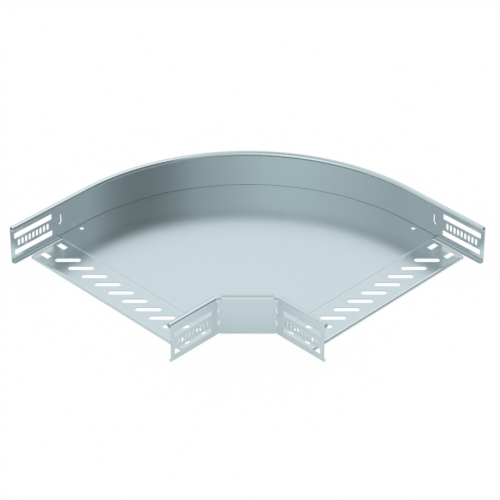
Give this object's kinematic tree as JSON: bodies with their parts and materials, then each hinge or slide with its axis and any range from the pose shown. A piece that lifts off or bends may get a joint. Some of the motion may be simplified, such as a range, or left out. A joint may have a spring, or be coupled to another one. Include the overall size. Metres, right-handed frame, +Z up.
{
  "type": "cable tray bend",
  "caption": "Horizontal right-angle bend for cable tray in galvanised sheet steel, with rolled rail edges, a stepped floor and perforated connectors at both outlets.",
  "frame": {"origin": "middle of the footprint's bounding box, level with the lowest edge of the outlet lips", "axes": "+X across the bend from one outlet to the other, +Y from the inner corner to the arc, +Z up; the outlets open towards -X-Y and +X-Y"},
  "size_m": [0.6152, 0.3946, 0.061],
  "materials": {
    "galvanised_floor": "strip-galvanised, smooth and fairly glossy",
    "galvanised_rail": "strip-galvanised, smooth and fairly glossy"
  },
  "bodies": {
    "root": {"floor_plate": "galvanised_floor", "outer_side_rail": "galvanised_rail", "inner_side_rail": "galvanised_rail"}
  },
  "joints": []
}
